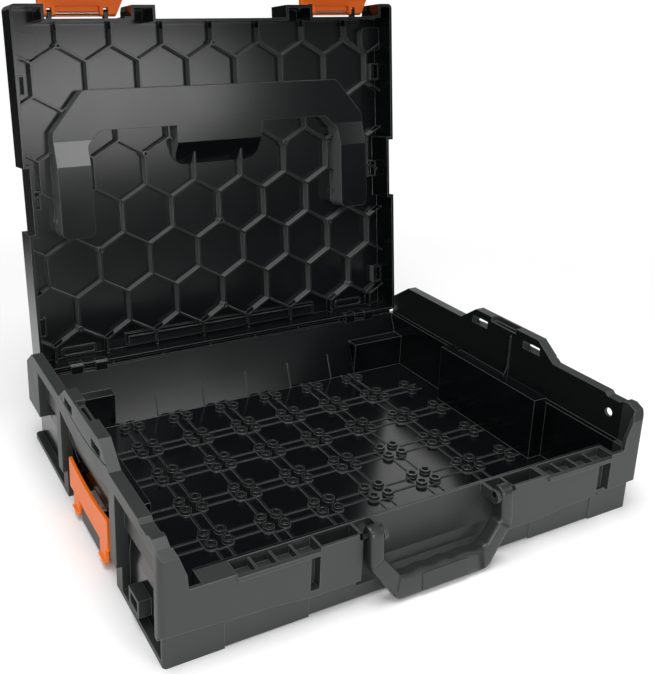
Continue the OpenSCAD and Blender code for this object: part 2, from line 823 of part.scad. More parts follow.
// Small sockets beside each side wall
module side_sockets(grow, z0, z1) {
    for (s = [-1, 1], y = socket_y) {
        inset = y > side_notch_y[0] && y < side_notch_y[1] ? side_notch : 0;
        translate([s * (lid_x - lid_wall - 5.5 - inset), y, 0])
            box(-4 - grow, 4 + grow, -8 - grow, 8 + grow, z0, z1);
    }
}

module latch_lugs() {
    for (x0 = latch_x, dx = [8, latch_w - 12])
        difference() {
            union() {
                rod_x(x0 + dx, x0 + dx + latch_lug_t, latch_y, latch_z, latch_barrel_r);
                box(x0 + dx, x0 + dx + latch_lug_t, latch_y, latch_recess_y + 1,
                    latch_z - latch_barrel_r, latch_z + latch_barrel_r);
            }
            rod_x(x0, x0 + latch_w, latch_y, latch_z, lever_pin_r + 0.02);
        }
}

module lid_knuckles() {
    for (side = [-1, 1])
        let (x = side * hinge_x - 0.5 * (knuckle_len + knuckle_gap))
            difference() {
                union() {
                    rod_x(x, x + knuckle_len, hinge_y, hinge_z, knuckle_r);
                    box(x, x + knuckle_len, hinge_y - knuckle_r, hinge_y, hinge_z,
                        hinge_z + 10);
                }
                hinge_bores(run);
            }
}

module lid_knuckle_room() {
    for (side = [-1, 1], i = [0, 2])
        let (x = side * hinge_x + (i - 1.5) * (knuckle_len + knuckle_gap))
            rod_x(x - knuckle_gap, x + knuckle_len + knuckle_gap, hinge_y, hinge_z,
                knuckle_clear);
}

module lid_shell() {
    color([0.1, 0.11, 0.12]) opened() {
        difference() {
            union() {
                difference() {
                    translate([0, 0, lid_low_z]) linear_extrude(lid_h) lid_plan(0);
                    translate([0, 0, lid_low_z - 1])
                        linear_extrude(plate_z - lid_low_z + 1) lid_plan(lid_wall);
                }
                translate([0, 0, rib_z]) honeycomb();
                for (p = knots)
                    translate([p[0], p[1], rib_z - 0.8])
                        cylinder(r = 3, h = hex_rib_h + 1.5, $fn = 24);
                recess_form(0, plate_z + 0.5);
                finger_pocket(0, plate_z + 0.5);
                corner_blocks();
                hinge_bars();
                side_sockets(1.3, plate_z - 7.5, plate_z + 0.5);
                latch_lugs();
            }
            recess_form(rec_wall, lid_top_z + 1);
            finger_pocket(rec_wall, lid_top_z + 1);
            for (p = knots)
                translate([p[0], p[1], rib_z - 2]) cylinder(r = 1.3, h = hex_rib_h, $fn = 20);
            side_sockets(0, plate_z - 9, plate_z + 1);
            lid_knuckle_room();
            hinge_bores(run);
            both_sides()
                rod_x(rec_in - 1, rec_out + 1, top_handle_y, top_handle_z, pin_r + 0.02);
        }
        lid_knuckles();
    }
}

// ------------------------------------------------------------- hinge pins
module hinge_pin(side) {
    color("silver")
        rod_x(side * hinge_x - 1.5 * (knuckle_len + knuckle_gap),
            side * hinge_x + 1.5 * (knuckle_len + knuckle_gap) - knuckle_gap,
            hinge_y, hinge_z, hinge_pin_r);
}

// ------------------------------------------------------------- latches
module latch(x0) {
    in_y = latch_out_y + latch_t;
    color([0.93, 0.38, 0.1]) opened() translate([0, latch_y, latch_z])
        rotate([-latch_rest, 0, 0]) translate([0, -latch_y, -latch_z])
        difference() {
            intersection() {
                union() {
                    along_x(x0, x0 + latch_w + latch_taper)
                        polygon([[latch_y, latch_z + latch_barrel_r],
                            [latch_out_y + 2.4, latch_z + latch_barrel_r],
                            [latch_out_y, latch_z + 1], [latch_out_y, latch_low_z + 2],
                            [latch_out_y + 1, latch_low_z], [in_y, latch_low_z],
                            [in_y, catch_low_z - 3.6], [front_y - 0.4, catch_low_z - 2.8],
                            [front_y - 0.4, catch_low_z - play],
                            [in_y, catch_low_z - play], [in_y, latch_z - 4],
                            [in_y + 2, latch_z - latch_barrel_r],
                            [latch_y, latch_z - latch_barrel_r]]);
                    rod_x(x0, x0 + latch_w + latch_taper, latch_y, latch_z, latch_barrel_r);
                }
                linear_extrude(far) latch_plan(x0, 0);
            }
            // room for the lid's two lugs
            for (dx = [8, latch_w - 12])
                box(x0 + dx - 0.4, x0 + dx + latch_lug_t + 0.4, latch_y - 5,
                    latch_y + 6, latch_z - 6, latch_z + 6);
            // hollow in the inner side of the arm
            box(x0 + 16, x0 + latch_w - 16, latch_y - 6.5, latch_y + 6, latch_z - 6,
                latch_z + 0.8);
            // the hook is only as wide as the catch
            box(x0 - 1, x0 + 17, in_y, front_y + 3, latch_low_z - 1, catch_low_z + 1);
            box(x0 + latch_w - 2, x0 + latch_w + 20, in_y, front_y + 3, latch_low_z - 1,
                catch_low_z + 1);
            rod_x(x0 - 1, x0 + latch_w + 20, latch_y, latch_z, lever_pin_r + run);
        }
}

module latch_pin(x0) {
    color("silver") opened()
        rod_x(x0 + 2, x0 + latch_w - 2, latch_y, latch_z, lever_pin_r);
}

// ------------------------------------------------------------- front handle
// Draws what follows hanging from the handle's axis
module hanging() {
    translate([handle_x, handle_y, handle_z]) rotate([-handle_tilt, 0, 0]) children();
}

module front_handle() {
    ht = handle_t / 2;
    color([0.13, 0.14, 0.14]) hanging()
        difference() {
            union() {
                translate([0, ht, 0]) rotate([90, 0, 0]) linear_extrude(handle_t)
                    polygon([[handle_hw, 0], [handle_hw, -25], [grip_hw, -handle_len],
                        [-grip_hw, -handle_len], [-handle_hw, -25], [-handle_hw, 0],
                        [-handle_in_x(), 0], [-handle_in_x(), -19], [-grip_hw, 20 - handle_len],
                        [grip_hw, 20 - handle_len], [handle_in_x(), -19], [handle_in_x(), 0]]);
                both_sides() rod_x(handle_in_x(), handle_hw, 0, 0, handle_boss_r);
            }
            // seat of the grip's insert
            box(-22, 22, -ht - 1, -ht + 1.5, -handle_len + 2.5, 17 - handle_len);
            // finger hollow along the top of the grip
            box(-grip_hw + 6, grip_hw - 6, -ht + 3, ht + 1, 18 - handle_len, 21 - handle_len);
            both_sides() rod_x(handle_in_x() - 1, handle_hw + 1, 0, 0, pin_r + run);
        }
}

module front_handle_insert() {
    ht = handle_t / 2;
    color([0.16, 0.17, 0.17]) hanging()
        box(-21.7, 21.7, -ht - 0.5, -ht + 1.5, -handle_len + 2.8, 16.7 - handle_len);
}

module front_handle_pin(side) {
    near_x = handle_in_x() - ear_t - play;
    end_x = recess_half + 2;
    color("silver") translate([handle_x, 0, 0])
        rod_x(side > 0 ? near_x : -end_x, side > 0 ? end_x : -near_x, handle_y, handle_z, pin_r);
}

// ------------------------------------------------------------- top handle
module lid_handle() {
    z0 = lid_top_z - 1.5 - top_handle_t;
    y0 = rec_front_y + rec_wall + 2.5;
    hx = top_handle_hw;
    b = top_handle_bar;
    color([0.12, 0.13, 0.13]) opened()
        difference() {
            union() {
                translate([0, 0, z0]) linear_extrude(top_handle_t)
                    polygon([[hx, top_handle_y], [hx, y0 + 35], [hx - 28, y0], [-hx + 28, y0],
                        [-hx, y0 + 35], [-hx, top_handle_y], [-hx + b, top_handle_y],
                        [-hx + b, y0 + 42], [-hx + b + 12, y0 + b], [hx - b - 12, y0 + b],
                        [hx - b, y0 + 42], [hx - b, top_handle_y]]);
                both_sides() rod_x(hx - b, hx, top_handle_y, z0 + top_handle_t / 2,
                    top_handle_t / 2);
            }
            both_sides() rod_x(hx - b - 1, hx + 1, top_handle_y, top_handle_z, pin_r + run);
        }
}

module lid_handle_pin() {
    color("silver") opened()
        rod_x(rec_in, rec_out, top_handle_y, top_handle_z, pin_r);
}

// ------------------------------------------------------------- side levers
module side_lever() {
    px = lever_plate_x;
    color([0.93, 0.38, 0.1])
        difference() {
            union() {
                along_x(px - lever_t, px)
                    difference() {
                        sag_outline(lever_half, lever_low_z, lever_low_z + lever_h, 4);
                        translate([grip_y - lever_half - 1, 0]) square([1, 1]);
                    }
                for (s = [-1, 1])
                    translate([0, grip_y + s * hook_off + hook_shift - hook_w / 2, 0]) {
                        box(px - lever_t, px, 0, hook_w, hook_low_z, lever_low_z + 1);
                        box(px - lever_t, px + 1.6, 0, hook_w, hook_low_z, hook_low_z + 1.6);
                    }
                rod_y(lever_axis_x, lever_axis_z, grip_y - lever_half,
                    grip_y + lever_half, lever_barrel_r);
                box(lever_axis_x, px - 1, grip_y - lever_half, grip_y + lever_half,
                    lever_axis_z - 3, lever_axis_z + 3);
            }
            box(lever_axis_x - 5, px - lever_t, grip_y - spring_w / 2 - 0.5,
                grip_y + spring_w / 2 + 0.5, lever_axis_z - 6, lever_axis_z + 6);
            rod_y(lever_axis_x, lever_axis_z, grip_y - lever_half - 1,
                grip_y + lever_half + 1, lever_pin_r + run);
        }
}

module lever_pin() {
    e = lever_half + ear_gap + ear_t;
    color("silver") rod_y(lever_axis_x, lever_axis_z, grip_y - e, grip_y + e, lever_pin_r);
}

// Ears that carry a lever's pin, and the sill between its hooks
module lever_ears() {
    e = lever_half + ear_gap;
    both_sides() {
        difference() {
            for (y = [grip_y - e - ear_t, grip_y + e])
                box(bulge_in_x + 1, foot_x, y, y + ear_t, lever_axis_z - 6, lever_axis_z + 6);
            rod_y(lever_axis_x, lever_axis_z, grip_y - far, grip_y + far, lever_pin_r + 0.02);
        }
        box(bulge_in_x + 1, foot_x, grip_y - 24, grip_y + 24, 2, 4.5);
        box(foot_x - 2.5, foot_x, grip_y - 24, grip_y + 24, 4, 17);
    }
}

// A wire swept along points, with a ring of sides normal to the path
function unit(v) = v / norm(v);
module wire(points, r, sides) {
    n = len(points);
    rings = [for (i = [0:n - 1])
        let (t = unit(points[min(i + 1, n - 1)] - points[max(i - 1, 0)]),
            a = unit(cross(t, [0.13, 1, 0.07])), b = cross(t, a))
            for (k = [0:sides - 1])
                points[i] + r * (cos(360 * k / sides) * a + sin(360 * k / sides) * b)];
    faces = concat([[for (k = [sides - 1:-1:0]) k]],
        [for (i = [0:n - 2], k = [0:sides - 1])
            [i * sides + k, i * sides + (k + 1) % sides,
                (i + 1) * sides + (k + 1) % sides, (i + 1) * sides + k]],
        [[for (k = [0:sides - 1]) (n - 1) * sides + k]]);
    polyhedron(rings, faces);
}

// Torsion spring round the lever's pin: one leg on the tub, one on the lever
module lever_spring() {
    coil_r = 2.7;
    last = 76;
    x = lever_axis_x;
    z = lever_axis_z;
    leg_in = [[bulge_in_x + wall + spring_wire / 2 + 0.1, grip_y - 3, z + coil_r]];
    coil = [for (i = [0:last])
        let (a = 90 - i * 22.5)
            [x + coil_r * cos(a), grip_y - 3 + 6 * i / last, z + coil_r * sin(a)]];
    leg_up = [[x - coil_r, grip_y + 3, z + 4],
        [lever_plate_x - lever_t - spring_wire / 2 - 0.1, grip_y + 3, z + 11]];
    color("silver") wire(concat(leg_in, coil, leg_up), spring_wire / 2, 8);
}

base_shell();
lid_shell();
hinge_pin(-1);  // hinge_pin_left
hinge_pin(1);  // hinge_pin_right
latch(latch_x[0]);  // latch_left
latch(latch_x[1]);  // latch_right
latch_pin(latch_x[0]);  // latch_pin_left
latch_pin(latch_x[1]);  // latch_pin_right
front_handle();
front_handle_insert();
front_handle_pin(-1);  // front_handle_pin_left
front_handle_pin(1);  // front_handle_pin_right
lid_handle();
mirror([1, 0, 0]) lid_handle_pin();  // lid_handle_pin_left
lid_handle_pin();  // lid_handle_pin_right
mirror([1, 0, 0]) side_lever();  // side_lever_left
side_lever();  // side_lever_right
mirror([1, 0, 0]) lever_pin();  // lever_pin_left
lever_pin();  // lever_pin_right
mirror([1, 0, 0]) lever_spring();  // lever_spring_left
lever_spring();  // lever_spring_right
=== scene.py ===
import json
from collections import namedtuple
from functools import partial, reduce
from math import cos, radians, sin
import bpy
import numpy as np
from mathutils import Matrix, Vector


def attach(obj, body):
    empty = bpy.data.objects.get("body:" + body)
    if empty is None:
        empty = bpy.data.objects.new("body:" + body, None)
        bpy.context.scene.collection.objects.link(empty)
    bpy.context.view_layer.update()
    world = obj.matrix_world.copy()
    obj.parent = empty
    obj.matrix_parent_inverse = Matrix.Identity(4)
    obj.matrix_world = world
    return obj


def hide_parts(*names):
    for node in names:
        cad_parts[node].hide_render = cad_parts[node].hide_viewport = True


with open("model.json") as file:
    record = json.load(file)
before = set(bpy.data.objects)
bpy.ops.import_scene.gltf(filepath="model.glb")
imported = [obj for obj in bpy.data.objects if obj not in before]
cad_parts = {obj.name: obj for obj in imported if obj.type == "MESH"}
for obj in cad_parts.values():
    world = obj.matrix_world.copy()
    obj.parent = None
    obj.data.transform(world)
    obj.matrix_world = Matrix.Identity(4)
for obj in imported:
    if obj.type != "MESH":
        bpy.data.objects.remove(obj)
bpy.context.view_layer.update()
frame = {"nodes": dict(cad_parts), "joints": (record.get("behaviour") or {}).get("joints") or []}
cad = frame["nodes"]
joints = {joint["name"]: joint for joint in frame["joints"]}

# ---------------------------------------------------------------- studio
# A camera a little above the open lid, in front of the case and to its left, a wide pale
# floor that runs out of sight, a dim room round it that looks white, and seven soft lamps.
scene = bpy.context.scene
scene.view_settings.view_transform = "Standard"

EYE = Vector((-0.3870, -0.6296, 0.4475))
TURN, TILT, LEAN = radians(28.207), radians(17.446), radians(1.240)
LENS, SHIFT_X, SHIFT_Y = 47.736, 0.0819, -0.1311
NEAREST, FARTHEST = 0.02, 60
ahead = Vector((sin(TURN) * cos(TILT), cos(TURN) * cos(TILT), -sin(TILT)))
level = Vector((cos(TURN), -sin(TURN), 0))
upright = level.cross(ahead)
right = level * cos(LEAN) + upright * sin(LEAN)
up = upright * cos(LEAN) - level * sin(LEAN)
camera = bpy.data.objects.new("camera", bpy.data.cameras.new("camera"))
camera.data.lens = LENS
camera.data.shift_x, camera.data.shift_y = SHIFT_X, SHIFT_Y
camera.data.clip_start, camera.data.clip_end = NEAREST, FARTHEST
camera.matrix_world = Matrix((
    (right.x, up.x, -ahead.x, EYE.x), (right.y, up.y, -ahead.y, EYE.y),
    (right.z, up.z, -ahead.z, EYE.z), (0, 0, 0, 1)))
scene.collection.objects.link(camera)
scene.camera = camera


def add(tree, kind, **settings):
    """Adds a shader node and sets its attributes."""
    made = tree.nodes.new("ShaderNode" + kind)
    for name, value in settings.items():
        setattr(made, name, value)
    return made


def feed(tree, source, target):
    """Links a socket to an input, or sets the input to a fixed value."""
    if isinstance(source, bpy.types.NodeSocket):
        tree.links.new(source, target)
    else:
        target.default_value = source


def maths(tree, operation, a, b):
    """One maths node on two sockets or values."""
    made = add(tree, "Math", operation=operation)
    feed(tree, a, made.inputs[0])
    feed(tree, b, made.inputs[1])
    return made.outputs[0]


def mix(tree, kind, mask, a, b):
    """A where the mask is 0 and b where it is 1, for numbers (FLOAT) or colours (RGBA)."""
    made = add(tree, "Mix", data_type=kind)
    first, result = (2, 0) if kind == "FLOAT" else (6, 2)
    for number, source in ((0, mask), (first, a), (first + 1, b)):
        feed(tree, source, made.inputs[number])
    return made.outputs[result]


def ramp(tree, source, start, end, low=0, high=1, **settings):
    """Goes from low where the source is at start to high where it is at end."""
    made = add(tree, "MapRange", **settings)
    values = (source, start, end, low, high)
    for name, value in zip(("Value", "From Min", "From Max", "To Min", "To Max"), values):
        feed(tree, value, made.inputs[name])
    return made.outputs[0]


def rgba(*colour):
    """A colour with full cover. A single number gives a grey."""
    return (*(colour if len(colour) == 3 else colour * 3), 1)


ROOM_LIGHT = 0.144
room = bpy.data.worlds.new("white_room")
room.use_nodes = True
room.node_tree.nodes.clear()
rays = add(room.node_tree, "LightPath")
glow = add(room.node_tree, "Background")
glow.inputs["Color"].default_value = rgba(1)
seen = maths(room.node_tree, "MAXIMUM", rays.outputs["Is Camera Ray"],
             rays.outputs["Is Transmission Ray"])
feed(room.node_tree, mix(room.node_tree, "FLOAT", seen, ROOM_LIGHT, 1.0),
     glow.inputs["Strength"])
feed(room.node_tree, glow.outputs[0], add(room.node_tree, "OutputWorld").inputs["Surface"])
scene.world = room

LAMPS = (  # name, place, width, height and power
    ("key", (-1.3, -1.5, 1.5), 1.3, 1.3, 16),
    ("top", (-0.3, -0.1, 2.0), 1.6, 1.6, 36),
    ("side", (1.7, -0.9, 1.1), 1.0, 1.0, 5),
    ("low", (1.1, -3.8, 0.74), 1.6, 0.64, 12),
    ("high", (0.55, -1.85, 1.75), 0.7, 0.7, 8),
    ("back", (1.1, 1.5, 0.9), 1.0, 1.0, 3),
    ("front", (-0.35, -2.2, 0.15), 0.8, 0.8, 22),
)
LAMP_AIM = Vector((0, 0, 0.15))
for name, place, width, height, power in LAMPS:
    lamp = bpy.data.objects.new("lamp_" + name, bpy.data.lights.new("lamp_" + name, "AREA"))
    lamp.data.shape, lamp.data.energy = "ELLIPSE", power
    lamp.data.size, lamp.data.size_y = width, height
    lamp.location, lamp.visible_camera = place, False
    lamp.rotation_euler = (LAMP_AIM - lamp.location).to_track_quat("-Z", "Y").to_euler()
    scene.collection.objects.link(lamp)

# Near the case the floor is pale and takes its shadow. Further out it glows white for the
# camera but lights nothing, so that the polished plastic has something dark to mirror.
FLOOR_HALF = 20.0
PALE_TO, DARK_FROM = 0.40, 1.0
PALE, DARK, PALE_IN_VIEW = rgba(0.95), rgba(0.05), rgba(0.98)
corners = [(-1, -1), (1, -1), (1, 1), (-1, 1)]
floor_mesh = bpy.data.meshes.new("floor")
floor_mesh.from_pydata([(x * FLOOR_HALF, y * FLOOR_HALF, 0) for x, y in corners], [],
                       [(0, 1, 2, 3)])
floor = bpy.data.objects.new("floor", floor_mesh)
scene.collection.objects.link(floor)
paper = bpy.data.materials.new("pale_floor")
paper.use_nodes = True
tree = paper.node_tree
shader = tree.nodes["Principled BSDF"]
shader.inputs["Roughness"].default_value = 0.8
shader.inputs["Specular IOR Level"].default_value = 0.2
shader.inputs["Emission Color"].default_value = rgba(1)
seen = add(tree, "LightPath").outputs["Is Camera Ray"]
reach = add(tree, "VectorMath", operation="LENGTH")
feed(tree, add(tree, "TexCoord").outputs["Object"], reach.inputs[0])
far = ramp(tree, reach.outputs["Value"], PALE_TO, DARK_FROM, interpolation_type="SMOOTHSTEP")
white = maths(tree, "MULTIPLY", far, seen)
tone = mix(tree, "RGBA", seen, mix(tree, "RGBA", far, PALE, DARK), PALE_IN_VIEW)
feed(tree, mix(tree, "RGBA", white, tone, rgba(0)), shader.inputs["Base Color"])
feed(tree, white, shader.inputs["Emission Strength"])
floor_mesh.materials.append(paper)

# ---------------------------------------------------------------- tub
# One moulding of dark impact-proof plastic, with pegs and ribs on its floor. The mould
# leaves it lightly grained outside and polished inside, with every edge rounded. Its inside
# is painted darker than its outside, as shade, and its edges lighter, for wear and as a
# painted highlight.


def socket(group, name, way, kind="NodeSocketFloat", value=None):
    """Adds a socket to a node group."""
    made = group.interface.new_socket(name, in_out=way, socket_type=kind)
    if value is not None:
        made.default_value = value


GRAIN_SCALE, SMEAR_SCALE = 1800, 16
grain = bpy.data.node_groups.new("moulded_grain", "ShaderNodeTree")
socket(grain, "Height", "OUTPUT")
socket(grain, "Patches", "OUTPUT")
outside = grain.nodes.new("NodeGroupOutput")
place = add(grain, "TexCoord")
for name, scale, rough in (("Height", GRAIN_SCALE, 0.65), ("Patches", SMEAR_SCALE, 0.5)):
    noise = add(grain, "TexNoise")
    for setting, value in (("Scale", scale), ("Detail", 3), ("Roughness", rough)):
        noise.inputs[setting].default_value = value
    feed(grain, place.outputs["Object"], noise.inputs["Vector"])
    feed(grain, noise.outputs[0], outside.inputs[name])

EDGE_FROM, EDGE_FULL = 0.995, 0.9
edges = bpy.data.node_groups.new("moulded_edge", "ShaderNodeTree")
socket(edges, "Radius", "INPUT", value=0.0006)
socket(edges, "Normal", "OUTPUT", "NodeSocketVector")
socket(edges, "Edge", "OUTPUT")
inside, outside = edges.nodes.new("NodeGroupInput"), edges.nodes.new("NodeGroupOutput")
rounded = add(edges, "Bevel", samples=8)
facing = add(edges, "VectorMath", operation="DOT_PRODUCT")
feed(edges, inside.outputs["Radius"], rounded.inputs["Radius"])
feed(edges, rounded.outputs[0], facing.inputs[0])
feed(edges, add(edges, "NewGeometry").outputs["Normal"], facing.inputs[1])
feed(edges, rounded.outputs[0], outside.inputs["Normal"])
feed(edges, ramp(edges, facing.outputs["Value"], EDGE_FROM, EDGE_FULL), outside.inputs["Edge"])

PolishAndShade = namedtuple("PolishAndShade", "masks rough colour flank")
PATCH_LOW, PATCH_HIGH = 0.3, 0.7
GLOSS_SPREAD, POLISH_SPREAD, TONE_SPREAD = 0.04, 0.03, 0.12
GRAIN_STRENGTH, MEAN_HEIGHT = 0.35, 0.5


def moulded(name, colour, wear_and_glint, rough, radius, depth, polish_and_shade=None):
    """A moulded plastic: grain of this depth, patches in the gloss, and edges painted lighter,
    for wear and as a painted highlight.

    Where the masks of a PolishAndShade say that the mould was polished, the plastic is smooth
    and has the PolishAndShade's colour, which is painted shade. The flanks of the ribs there
    have the flank colour instead, kept out of that shade; on the lid it is painted light.
    """
    made = bpy.data.materials.new(name)
    made.use_nodes = True
    tree = made.node_tree
    shader = tree.nodes["Principled BSDF"]
    fine = add(tree, "Group", node_tree=grain).outputs
    rim = add(tree, "Group", node_tree=edges)
    rim.inputs["Radius"].default_value = radius
    tint = mix(tree, "RGBA", fine["Patches"],
               *[rgba(*[side * c for c in colour]) for side in (1 - TONE_SPREAD, 1 + TONE_SPREAD)])
    gloss = ramp(tree, fine["Patches"], PATCH_LOW, PATCH_HIGH, rough - GLOSS_SPREAD,
                 rough + GLOSS_SPREAD)
    relief = fine["Height"]
    if polish_and_shade:
        masks = add(tree, "Group", node_tree=polish_and_shade.masks).outputs
        # Painted shade on the polished inside, and the flank colour on the ribs' flanks, which on
        # the lid is painted light.
        tint = mix(tree, "RGBA", masks["PolishedShaded"], tint, rgba(*polish_and_shade.colour))
        tint = mix(tree, "RGBA", masks["Flank"], tint, rgba(*polish_and_shade.flank))
        sheen = ramp(tree, fine["Patches"], 0, 1, polish_and_shade.rough - POLISH_SPREAD,
                     polish_and_shade.rough + POLISH_SPREAD)
        gloss = mix(tree, "FLOAT", masks["PolishedShaded"], gloss, sheen)
        relief = mix(tree, "FLOAT", masks["PolishedShaded"], relief, MEAN_HEIGHT)
    bump = add(tree, "Bump")
    bump.inputs["Strength"].default_value = GRAIN_STRENGTH
    bump.inputs["Distance"].default_value = depth
    feed(tree, relief, bump.inputs["Height"])
    feed(tree, rim.outputs["Normal"], bump.inputs["Normal"])
    feed(tree, bump.outputs[0], shader.inputs["Normal"])
    feed(tree, gloss, shader.inputs["Roughness"])
    # Rounded edges take the lighter edge colour: wear, and a painted highlight.
    feed(tree, mix(tree, "RGBA", rim.outputs["Edge"], tint, rgba(*wear_and_glint)),
         shader.inputs["Base Color"])
    return made


def finish_with(material, *nodes):
    """Gives CAD nodes this material in every slot."""
    for name in nodes:
        mesh = cad[name].data
        mesh.materials.clear()
        mesh.materials.append(material)


MASK_EDGE = 0.0004
LEVEL_FROM, LEVEL_FULL = 0.60, 0.78


def polish_and_shade_masks(name, away, hollow, ribs, ribs_top=None):
    """A group with two masks: the polished inside, where shade is painted, and the flanks of its
    ribs.

    hollow and ribs are lists of (normal, distance): a point p is within where each
    p . normal < distance. A flank is a face in the ribs' field that is turned from the
    direction away by 39 degrees or more, fully one from 53 degrees on, and lies at less
    than ribs_top along it.
    """
    made = bpy.data.node_groups.new(name, "ShaderNodeTree")
    socket(made, "PolishedShaded", "OUTPUT")
    socket(made, "Flank", "OUTPUT")
    outputs = made.nodes.new("NodeGroupOutput").inputs
    place = add(made, "TexCoord").outputs["Object"]
    normal = add(made, "NewGeometry").outputs["Normal"]
    join = partial(maths, made)

    def step(source, direction, start, end):
        """1 where source . direction is over end, 0 where it is under start."""
        along = add(made, "VectorMath", operation="DOT_PRODUCT")
        feed(made, source, along.inputs[0])
        feed(made, direction, along.inputs[1])
        return ramp(made, along.outputs["Value"], start, end)

    def within(limits):
        """1 on the inner side of every limit."""
        steps = [step(place, minus(direction), -distance - MASK_EDGE, -distance + MASK_EDGE)
                 for direction, distance in limits]
        return reduce(partial(join, "MULTIPLY"), steps)

    no_flank = step(normal, away, LEVEL_FROM, LEVEL_FULL)
    if ribs_top is not None:
        above = step(place, away, ribs_top, ribs_top + MASK_EDGE)
        no_flank = join("MAXIMUM", no_flank, above)
    flank = join("MULTIPLY", within(ribs), join("SUBTRACT", 1, no_flank))
    feed(made, join("SUBTRACT", within(hollow), flank), outputs["PolishedShaded"])
    feed(made, flank, outputs["Flank"])
    return made


X, Y, Z = (1, 0, 0), (0, 1, 0), (0, 0, 1)


def minus(direction):
    """The opposite direction."""
    return tuple(-c for c in direction)


def between(direction, low, high):
    """The two limits that hold a point between low and high along a direction."""
    return [(direction, high), (minus(direction), -low)]


# The edges take a lighter colour: partly wear, partly a painted highlight.
SHELL, SHELL_WEAR_AND_GLINT = (0.0205, 0.0245, 0.0222), (0.105, 0.115, 0.112)
# Painted shade: the polished inside of the tub and the lid is coloured far darker than the
# outside.
SHELL_SHADED_INSIDE = (0.0027, 0.0033, 0.0038)
TUB_X, TUB_FRONT, TUB_REAR, TUB_FLOOR = 0.2112, -0.1605, 0.1765, 0.0035
TUB_RIBS_X, TUB_RIBS_FRONT, TUB_RIBS_REAR, TUB_RIBS_TOP = 0.1850, -0.1530, 0.1480, 0.0120
over_floor = [(minus(Z), -TUB_FLOOR)]
tub_inside = polish_and_shade_masks(
    "tub_inside", Z,
    between(X, -TUB_X, TUB_X) + between(Y, TUB_FRONT, TUB_REAR) + over_floor,
    between(X, -TUB_RIBS_X, TUB_RIBS_X) + between(Y, TUB_RIBS_FRONT, TUB_RIBS_REAR) + over_floor,
    TUB_RIBS_TOP)
# The tub's inside is painted dark, as shade; the flanks of its pegs and ribs keep about the
# outside's colour.
tub_polish_and_shade = PolishAndShade(tub_inside, rough=0.17, colour=SHELL_SHADED_INSIDE, flank=(0.016, 0.018, 0.018))
tub_plastic = moulded("tub_plastic", SHELL, SHELL_WEAR_AND_GLINT, rough=0.45, radius=0.0007, depth=0.00006,
                      polish_and_shade=tub_polish_and_shade)
finish_with(tub_plastic, "base_shell")

# ---------------------------------------------------------------- lid
# A tray of the same plastic, stiffened by honeycomb ribs and held to the tub's rear rim by
# steel pins in its knuckles. It stands open: its inside faces FACING, and its plate lies
# at LID_PLATE along that direction.
OPEN = radians(joints["lid_hinge"]["range_deg"][1])
FACING = (0, -sin(OPEN), -cos(OPEN))
LID_PLATE = -0.1929
LID_RIBS_X, LID_RIBS_LOW, LID_RIBS_HIGH = 0.1960, 0.0860, 0.3870
over_plate = [(minus(FACING), -LID_PLATE)]
lid_inside = polish_and_shade_masks(
    "lid_inside", FACING, over_plate,
    between(X, -LID_RIBS_X, LID_RIBS_X) + between(Z, LID_RIBS_LOW, LID_RIBS_HIGH) + over_plate)
# Painted light: the rib flanks in the lid are coloured much lighter than the plastic, as light
# falling on them, and the plate between them dark, as shade.
lid_polish_and_shade = PolishAndShade(lid_inside, rough=0.17, colour=SHELL_SHADED_INSIDE, flank=(0.092, 0.098, 0.097))
lid_plastic = moulded("lid_plastic", SHELL, SHELL_WEAR_AND_GLINT, rough=0.45, radius=0.0005, depth=0.00006,
                      polish_and_shade=lid_polish_and_shade)
finish_with(lid_plastic, "lid_shell")

# ---------------------------------------------------------------- pins and springs
# Drawn steel rod and wire: hinge pins, latch pins, handle pins, lever pins and springs.
# The front handle's pins, which show in its recess, are coloured near black.
STEEL, NEAR_BLACK = rgba(0.55, 0.55, 0.53), rgba(0.03, 0.03, 0.03)
wire = bpy.data.materials.new("drawn_steel")
wire.use_nodes = True
tree = wire.node_tree
shader = tree.nodes["Principled BSDF"]
shader.inputs["Metallic"].default_value = 1.0
shader.inputs["Base Color"].default_value = STEEL
fine = add(tree, "Group", node_tree=grain)
feed(tree, ramp(tree, fine.outputs["Height"], 0, 1, low=0.22, high=0.42),
     shader.inputs["Roughness"])
finish_with(wire, *[name for name in cad if "pin" in name or "spring" in name])
black = wire.copy()
black.name = "near_black_steel"
black.node_tree.nodes["Principled BSDF"].inputs["Base Color"].default_value = NEAR_BLACK
finish_with(black, "front_handle_pin_left", "front_handle_pin_right")

# ---------------------------------------------------------------- latches and levers
# Tough orange plastic, smoother than the shells. Each is moulded in one piece and turns
# on its own steel pin.
# Its edges are painted a lighter orange: wear, and a painted highlight.
ORANGE, ORANGE_WEAR_AND_GLINT = (0.95, 0.18, 0.010), (0.98, 0.27, 0.025)
orange = moulded("accent_plastic", ORANGE, ORANGE_WEAR_AND_GLINT, rough=0.42, radius=0.0008, depth=0.00004)
orange.node_tree.nodes["Principled BSDF"].inputs["Specular IOR Level"].default_value = 0.35


SAME_POINT, SAME_PLANE, SHARP = 2e-6, radians(0.5), radians(30)


def soften(name, width):
    """Rounds a moulding's edges: joins its facets, then bevels each sharp edge."""
    node = cad[name]
    node.modifiers.new("join", "WELD").merge_threshold = SAME_POINT
    flat = node.modifiers.new("flat", "DECIMATE")
    flat.decimate_type, flat.angle_limit = "DISSOLVE", SAME_PLANE
    bevel = node.modifiers.new("round", "BEVEL")
    bevel.width, bevel.segments, bevel.limit_method = width, 3, "ANGLE"
    bevel.angle_limit, bevel.harden_normals = SHARP, True


for name in ("latch_left", "latch_right", "side_lever_left", "side_lever_right"):
    finish_with(orange, name)
    soften(name, width=0.0005)

